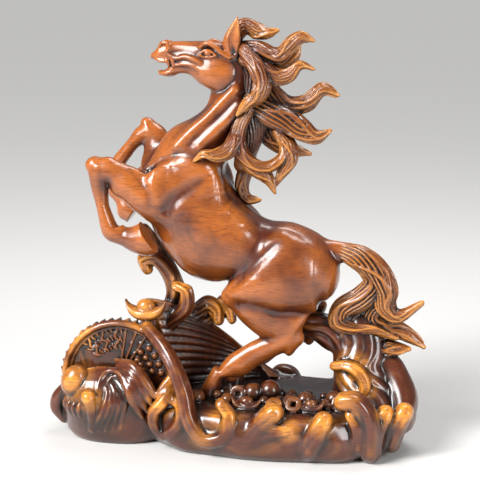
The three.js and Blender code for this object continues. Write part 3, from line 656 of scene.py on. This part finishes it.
# %% coin, ingots and beads
def turned(shape, lean, place):
    """A coin's face turns from straight up to the viewer, and leans back."""
    points, triangles, quads = shape
    a = math.radians(90 - lean)
    x, y, z = points.T
    out = np.stack([x, y * math.cos(a) - z * math.sin(a), y * math.sin(a) + z * math.cos(a)], 1)
    return out + np.array(place), triangles, quads


def disc(radius, low, high, teeth=0, tooth=0.0, sides=176):
    """A disc whose edge may carry slanting teeth."""
    angle = np.linspace(0, 2 * np.pi, sides, endpoint=False)
    r = radius - tooth * (angle * teeth / (2 * np.pi) % 1)
    rings = [np.stack([np.cos(angle) * r, np.sin(angle) * r, np.full(sides, z)], 1) for z in (low, high)]
    return skin(np.array(rings), [0, 0, low], [0, 0, high])


def square_bar(width, low, high):
    """A square bar: the hole of a small coin, or the block that levels the underside."""
    corners = ((-1, -1), (1, -1), (1, 1), (-1, 1))
    rings = [[[x * width / 2, y * width / 2, z] for x, y in corners] for z in (low, high)]
    return skin(np.array(rings, float), [0, 0, low], [0, 0, high])


coin_place = (coin_x, coin_y, coin_z)
base.add(turned(disc(coin_radius, -coin_thickness, 0, coin_teeth, tooth_height, 360), coin_lean,
                coin_place), 0.4)
inner = coin_radius - tooth_height - rim_width
base.cut(turned(disc(inner, -face_sink, 6), coin_lean, coin_place), 0.6)


def stroke(points, radius=1.0):
    """A raised line on the coin's face, through points in polar form."""
    line = smooth_curve([on_coin(a, r, 1.4 - face_sink) for a, r in points], 6 * len(points))
    base.add(tube(line, np.full(len(line), radius)), 0.3)


# Three groups of wavy strokes and ticks, then straight dividers. None of them is a letter.
for middle in (131, 112, 94):
    stroke([(middle + 3.5 * math.sin(2.4 * i), coin_radius * (0.48 + 0.07 * i)) for i in range(6)], 1.2)
    for i in range(3):
        level = coin_radius * (0.50 + 0.13 * i)
        stroke([(middle + 5, level), (middle + 8, level + 4)])
        stroke([(middle - 5, level + 3), (middle - 8, level - 1)])
for angle in (82, 70, 58):
    stroke([(angle, coin_radius * 0.34), (angle, coin_radius * 0.6), (angle, coin_radius * 0.86)], 1.1)
# The coin has covered the raised rim and the folds, so they are laid on again.
for shape in (rim, *folds):
    base.add(sweep(shape, sides=32, steps=8), 1.2)


def bead(x, y, z, radius):
    base.add(ball(x / share, z / share, y / share, radius / share), 0.4)


def ingot(x, y, z, size):
    half = [[20, 0, 22], [39, 10, 17], [49, 29, 7]]
    boat = [*([-a, b, t] for a, b, t in half[::-1]), [0, -2, 24], *half]
    hull = [[x / share + a * size, z / share + b * size, y / share, t * 0.7 * size, t * size, 90]
            for a, b, t in boat]
    base.add(sweep(hull, sides=24), 0.5)
    base.add(ball(x / share, z / share + 17 * size, y / share, 22 * size, 18 * size, 18 * size), 0.4)


ingot(-81, -30, pool_level + 79, 1.0)
ingot(25, -60, pool_level + 1, 0.72)
ingot(86, -58, pool_level + 2, 0.66)
big_beads = [(26, -34, 7, 9.5), (42, -31, 9, 10.5), (64, -46, 5, 7), (78, -44, 6, 8), (104, -32, 5, 8),
             (4, -50, 3, 7), (-26, -50, 4, 8)]
for x, y, up, radius in big_beads:
    bead(x, y, pool_level + up, radius)
# Small beads fill the pool in a loose spiral, and cover the coin's right part in rows.
small_beads = 46
for i in range(small_beads):
    turn, reach = 2.4 * i, math.sqrt((i + 1) / small_beads)
    x, y = 52 + 66 * reach * math.cos(turn), -36 + 26 * reach * math.sin(turn)
    bead(x, y, pool_level + 1.5 + i % 3, 3.4 + i % 4 * 0.7)
for row, level in enumerate((0.44, 0.58, 0.72, 0.86)):
    for i in range(4):
        x, y, z = on_coin(10 + 12 * i + 5 * (row % 2), level * coin_radius, 0.6 - face_sink)
        bead(x, y, z, 3.2)
# Little coins with square holes lie in the pool.
for x, y, tilt in ((12, -40, 20), (70, -62, 40), (112, -50, 30), (52, -66, 55)):
    small = disc(8, -1.2, 1.2, sides=48)
    hole = square_bar(5, -3, 3)
    base.add(turned(small, tilt, (x, y, pool_level + 7)), 0.3)
    base.cut(turned(hole, tilt, (x, y, pool_level + 7)), 0.2)
print("beads in the pool:", len(big_beads) + small_beads, "teeth on the coin:", coin_teeth)

# %% [markdown]
# ## Hollows and ridges
# Every piece is weighed on one coarse grid: how full the space around a point is. A hollow has
# more clay around it than a ridge. The rubbed gold follows that, and so does the darkening of
# hollows, which is partly dark staining and partly painted shade.

# %% fullness
def blurred(values, radius):
    """A box blur along each axis, run twice."""
    for _ in range(2):
        for axis in range(3):
            padding = [(radius + 1, radius) if a == axis else (0, 0) for a in range(3)]
            total = np.cumsum(np.pad(values, padding, mode="edge"), axis=axis, dtype=np.float32)
            size = 2 * radius + 1
            high = np.take(total, range(size, total.shape[axis]), axis=axis)
            low = np.take(total, range(0, total.shape[axis] - size), axis=axis)
            values = (high - low) / size
    return values


class Fullness:
    def __init__(self, clays, step):
        self.step = step
        low = np.min([c.start * c.step for c in clays], axis=0)
        high = np.max([(c.start + np.array(c.field.shape)) * c.step for c in clays], axis=0)
        self.low = low
        count = np.ceil((high - low) / step).astype(int) + 1
        full = np.zeros(count, np.float32)
        for c in clays:
            grids = []
            for a in range(3):
                nearest = np.round((low[a] + np.arange(count[a]) * step) / c.step).astype(int)
                grids.append(np.clip(nearest - c.start[a], -1, c.field.shape[a]))
            inside = [np.where((g >= 0) & (g < c.field.shape[a]))[0] for a, g in enumerate(grids)]
            picked = c.field[np.ix_(*(g[i] for g, i in zip(grids, inside)))]
            where = np.ix_(*inside)
            full[where] = np.maximum(full[where], np.clip(0.5 - picked / step, 0, 1))
        self.full = full

    def at(self, points, field):
        """Values between the grid's points."""
        p = (points - self.low) / self.step
        i = np.clip(p.astype(int), 0, np.array(field.shape) - 2)
        f = p - i
        total = np.zeros(len(points), np.float32)
        for dx in (0, 1):
            for dy in (0, 1):
                for dz in (0, 1):
                    w = (np.abs(1 - dx - f[:, 0]) * np.abs(1 - dy - f[:, 1]) * np.abs(1 - dz - f[:, 2]))
                    total += w * field[i[:, 0] + dx, i[:, 1] + dy, i[:, 2] + dz]
        return total


clays = [body, mane, tail, base]
fullness = Fullness(clays, 1.5)
near_field = blurred(fullness.full, 1)
wide_field = blurred(fullness.full, 4)
print("fullness grid:", fullness.full.shape)

# %% [markdown]
# ## Gilding
# The ridges are rubbed to gold in some places only: the tips of the locks, the crests of the waves,
# the golden ball and the finger at the left end.

# %% golden places
golden_crests = [
    # The ball and finger at the left end, the strap beside the coin, and the crests along the front.
    (-356, 147, -140, 60), (-310, 118, -180, 40), (-112, 160, -140, 44), (-140, 112, -162, 42),
    (-95, 110, -178, 34), (18, 105, -192, 46), (-30, 50, -194, 40), (130, 122, -198, 50),
    (169, 80, -200, 34), (247, 106, -198, 46), (289, 148, -166, 48), (306, 118, -176, 32),
    (382, 118, -136, 44), (422, 118, -116, 46),
    # The waves under the tail, the tall waves, the ingot on the coin, and the coin's left edge.
    (285, 190, -66, 60), (325, 160, -76, 40), (-218, 405, 4, 40), (-48, 288, 26, 44),
    (-128, 358, -28, 40), (-22, 286, 40, 44), (-198, 300, -74, 58), (-215, 470, 6, 30),
    (-360, 250, -104, 56),
]


def tips(locks, start, reach):
    """Places along the outer part of each lock."""
    made = []
    for stations in locks:
        centre = course(stations, 4)[0] / share
        for x, y, z in centre[int(len(centre) * start)::3]:
            made.append((x, z, y, reach))
    return made


def gilt(points, places):
    """How golden each point is, from 0 to 1."""
    amount = np.zeros(len(points), np.float32)
    for x, z, y, reach in places:
        far_off = np.linalg.norm(points - np.array([x, y, z]) * share, axis=1) / (reach * share)
        amount = np.maximum(amount, np.clip(1.5 * (1 - far_off), 0, 1))
    return amount


ear_tip = (14, 985, -27, 40)
golden = {"horse": [ear_tip], "mane": tips(mane_locks, 0.55, 38), "tail": tips(tail_locks, 0.0, 52),
          "waves_and_base": golden_crests}
print("golden places:", {name: len(places) for name, places in golden.items()})

# %% [markdown]
# ## Meshes
# Each block of clay becomes a mesh in metres, with no more than `triangle_limit` triangles. Its points
# carry how full, how golden and how shaded their place is.

# %% pieces
triangle_limit = 190000
# Painted shade: the colour is darker on undersides, where shade falls, and darker inside the pool.
pool_middle, pool_spread = np.array([48, -20, pool_level - 2]), np.array([92, 62, 22])


def attribute(mesh, name, values):
    mesh.attributes.new(name, "FLOAT", "POINT").data.foreach_set("value", values)


def piece(name, clay):
    corners, triangles, quads = clay.surface()
    mesh = bpy.data.meshes.new(name)
    faces = [*triangles.tolist(), *quads.tolist()]
    mesh.from_pydata(((corners + shift) / 1000).tolist(), [], faces)
    made = bpy.data.objects.new(name, mesh)
    bpy.context.scene.collection.objects.link(made)
    count = len(triangles) + 2 * len(quads)
    if count > triangle_limit:
        fewer = made.modifiers.new("fewer", "DECIMATE")
        fewer.ratio = triangle_limit / count
        bpy.context.view_layer.objects.active = made
        bpy.ops.object.modifier_apply(modifier="fewer")
    mesh = made.data
    places = np.empty(len(mesh.vertices) * 3, np.float32)
    mesh.vertices.foreach_get("co", places)
    places = places.reshape(-1, 3) * 1000 - shift
    attribute(mesh, "near_fullness", fullness.at(places, near_field))
    attribute(mesh, "wide_fullness", fullness.at(places, wide_field))
    attribute(mesh, "gilt", gilt(places, golden[name]))
    normals = np.empty(len(mesh.vertices) * 3, np.float32)
    mesh.vertex_normals.foreach_get("vector", normals)
    # Painted shade: points that face down take shade in their colour, and so does the pool.
    underside = np.clip(-normals[2::3], 0, 1)
    pool = np.linalg.norm((places - pool_middle) / pool_spread, axis=1)
    attribute(mesh, "shaded", np.maximum(underside, np.clip(2.4 * (1 - pool), 0, 1)))
    mesh.shade_smooth()
    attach(made, "root")
    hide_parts(node)
    print(name, count, "triangles drawn,", sum(len(p.vertices) - 2 for p in mesh.polygons), "kept")
    return made


base.cut(square_bar(800, -60, 0))
made_pieces = {name: piece(name, clay) for name, clay in
               (("horse", body), ("mane", mane), ("tail", tail), ("waves_and_base", base))}

# %% [markdown]
# ## Lacquered staining and painted shade
# Shader maths reads as sums: a `Value` wraps a socket.

# %% shader helpers
class Value:
    def __init__(self, tree, socket):
        self.tree = tree
        self.socket = socket

    def maths(self, kind, other, swap=False, clamp=False):
        made = self.tree.nodes.new("ShaderNodeMath")
        made.operation = kind
        made.use_clamp = clamp
        pair = [other, self] if swap else [self, other]
        for socket, value in zip(made.inputs, pair):
            if isinstance(value, Value):
                self.tree.links.new(value.socket, socket)
            else:
                socket.default_value = value
        return Value(self.tree, made.outputs[0])

    def __add__(self, other):
        return self.maths("ADD", other)

    def __sub__(self, other):
        return self.maths("SUBTRACT", other)

    def __rsub__(self, other):
        return self.maths("SUBTRACT", other, swap=True)

    def __mul__(self, other):
        return self.maths("MULTIPLY", other)

    def clamped(self):
        return self.maths("ADD", 0.0, clamp=True)


class Shader:
    def __init__(self, name):
        self.material = bpy.data.materials.new(name)
        self.material.use_nodes = True
        self.tree = self.material.node_tree
        self.surface = self.tree.nodes["Principled BSDF"]

    def node(self, kind, settings, sockets):
        made = self.tree.nodes.new(kind)
        for key, value in settings.items():
            setattr(made, key, value)
        for key, value in sockets.items():
            if isinstance(value, Value):
                self.tree.links.new(value.socket, made.inputs[key])
            else:
                made.inputs[key].default_value = value
        return made

    def attribute(self, name):
        made = self.node("ShaderNodeAttribute", {"attribute_name": name}, {})
        return Value(self.tree, made.outputs["Fac"])

    def blend(self, amount, first, second):
        made = self.node("ShaderNodeMix", {"data_type": "RGBA"}, {0: amount})
        for index, colour in ((6, first), (7, second)):
            if isinstance(colour, Value):
                self.tree.links.new(colour.socket, made.inputs[index])
            else:
                made.inputs[index].default_value = (*colour, 1)
        return Value(self.tree, made.outputs[2])

    def link(self, value, socket):
        self.tree.links.new(value.socket, self.surface.inputs[socket])


# %% staining and painted shade
def stain_and_shade(name, gold, ground, least, wash, cracks, coat, deep=(0.010, 0.003, 0.0015)):
    """`least` is how much gold a ridge takes where nothing is gilt, and `wash` how much gold covers a
    gilt place whole. Where the fullness passes `cracks` the colour darkens to near black: partly dark
    staining, partly painted shade. Broad bulges are painted lighter than broad hollows, and undersides
    and the pool get painted shade."""
    shader = Shader(name)
    near, wide, rubbed, shaded = (shader.attribute(a) for a in
                                  ("near_fullness", "wide_fullness", "gilt", "shaded"))
    where = Value(shader.tree, shader.node("ShaderNodeTexCoord", {}, {}).outputs["Object"])
    stretched = shader.node("ShaderNodeMapping", {}, {"Vector": where, "Rotation": (0, 0.7, 0),
                                                      "Scale": (90, 300, 900)})
    grain = shader.node("ShaderNodeTexNoise", {}, {"Vector": Value(shader.tree, stretched.outputs[0]),
                                                   "Scale": 1.0, "Detail": 4.0, "Roughness": 0.65})
    grain = Value(shader.tree, grain.outputs["Fac"])
    broad = shader.node("ShaderNodeTexNoise", {}, {"Vector": where, "Scale": 22.0, "Detail": 3.0})
    broad = Value(shader.tree, broad.outputs["Fac"])
    ridge = ((0.46 - near) * 10.0 + (broad - 0.5) * 0.5).clamped() * (rubbed * (1 - least) + least)
    # Cracks and hollows darken towards near black: partly dark staining in the grooves, partly painted
    # shade.
    hollow = ((near - cracks) * 10.0 + (wide - cracks - 0.02) * 4.0).clamped()
    streak = ((grain - 0.50) * 6.0).clamped()
    # Painted light and shade: broad bulges are lighter and broad hollows darker; the broad noise adds random
    # tone.
    colour = shader.blend((broad * 2.6 - 0.85 + (0.48 - wide) * 6.0).clamped(), ground[0], ground[1])
    colour = shader.blend((rubbed * wash + ridge * 0.8).clamped(), colour, gold)
    colour = shader.blend(streak * 0.55, colour, shader.blend(0.4, deep, ground[0]))
    # Painted shade on undersides and in the pool.
    colour = shader.blend(shaded * 0.75, colour, shader.blend(0.3, deep, ground[0]))
    colour = shader.blend(hollow * 0.97, colour, deep)
    shader.link(colour, "Base Color")
    shader.surface.inputs["Roughness"].default_value = 0.3
    shader.surface.inputs["Coat Weight"].default_value = coat
    shader.surface.inputs["Coat Roughness"].default_value = 0.14
    swell = shader.node("ShaderNodeBump", {}, {"Height": broad, "Strength": 0.35, "Distance": 0.003})
    bump = shader.node("ShaderNodeBump", {}, {"Height": grain, "Strength": 0.12, "Distance": 0.0005,
                                              "Normal": Value(shader.tree, swell.outputs[0])})
    shader.tree.links.new(bump.outputs[0], shader.surface.inputs["Normal"])
    return shader.material


body_stain_and_shade = stain_and_shade("body_stain_and_shade", (0.56, 0.19, 0.034), ((0.085, 0.015, 0.004), (0.43, 0.115, 0.017)),
                   0.12, 0.8, 0.545, 0.6)
hair_stain_and_shade = stain_and_shade("hair_stain_and_shade", (0.62, 0.25, 0.050), ((0.060, 0.013, 0.0035), (0.17, 0.040, 0.008)),
                   0.34, 0.16, 0.51, 0.35)
wave_stain_and_shade = stain_and_shade("wave_stain_and_shade", (0.80, 0.30, 0.040), ((0.034, 0.008, 0.003), (0.12, 0.024, 0.006)),
                   0.20, 0.60, 0.53, 0.6)
for name, material in (("horse", body_stain_and_shade), ("mane", hair_stain_and_shade), ("tail", hair_stain_and_shade),
                       ("waves_and_base", wave_stain_and_shade)):
    made_pieces[name].data.materials.append(material)
    print(name, "wears", material.name)

# %% [markdown]
# ## Floor, light and camera
# The photograph is taken from a little above and a little towards the tail.

# %% stage
def plain(name, colour, roughness):
    shader = Shader(name)
    shader.surface.inputs["Base Color"].default_value = (*colour, 1)
    shader.surface.inputs["Roughness"].default_value = roughness
    return shader.material


bpy.ops.mesh.primitive_plane_add(size=60, location=(0, 0, 0))
floor = bpy.context.object
floor.name = "floor"
floor.data.materials.append(plain("pale_floor", (0.78, 0.77, 0.75), 0.6))

bpy.context.scene.view_settings.view_transform = "Standard"
world = bpy.data.worlds.new("studio")
bpy.context.scene.world = world
world.use_nodes = True
world.node_tree.nodes["Background"].inputs[0].default_value = (0.86, 0.87, 0.9, 1)
world.node_tree.nodes["Background"].inputs[1].default_value = 0.24


def softbox(name, place, aim, size, power):
    data = bpy.data.lights.new(name, "AREA")
    data.shape = "RECTANGLE"
    data.size, data.size_y = size
    data.energy = power
    made = bpy.data.objects.new(name, data)
    made.location = place
    made.rotation_euler = (Vector(aim) - Vector(place)).to_track_quat("-Z", "Y").to_euler()
    bpy.context.scene.collection.objects.link(made)


sun = bpy.data.lights.new("sun", "SUN")
sun.energy = 2.5
sun.angle = math.radians(26)
made_sun = bpy.data.objects.new("sun", sun)
made_sun.rotation_euler = Vector((-0.75, -0.85, 1.0)).to_track_quat("Z", "Y").to_euler()
bpy.context.scene.collection.objects.link(made_sun)
softbox("key", (-0.8, -0.9, 0.8), (0, 0, 0.2), (0.5, 0.6), 14)
softbox("fill", (1.0, -0.7, 0.5), (0, 0, 0.2), (0.3, 0.6), 7)
softbox("top", (0.2, 0.4, 1.3), (0, 0, 0.2), (0.8, 0.5), 8)

camera_azimuth, camera_elevation, camera_distance = math.radians(12), math.radians(12), 1.5
# The photograph's frame in pixels, and the millimetres that a pixel covers at the statue.
frame_pixels, pixel_size, sensor_width = 480, 0.9664, 36
aim = Vector((5.8 + shift[0], shift[1], 194.1)) / 1000
back = Vector((math.sin(camera_azimuth) * math.cos(camera_elevation),
               -math.cos(camera_azimuth) * math.cos(camera_elevation), math.sin(camera_elevation)))
data = bpy.data.cameras.new("camera")
data.sensor_width = sensor_width
data.lens = sensor_width * camera_distance * 1000 / (frame_pixels * pixel_size)
camera = bpy.data.objects.new("camera", data)
camera.location = aim + back * camera_distance
camera.rotation_euler = back.to_track_quat("Z", "Y").to_euler()
bpy.context.scene.collection.objects.link(camera)
bpy.context.scene.camera = camera
print("camera:", [round(v, 3) for v in camera.location], "lens:", round(data.lens, 1))
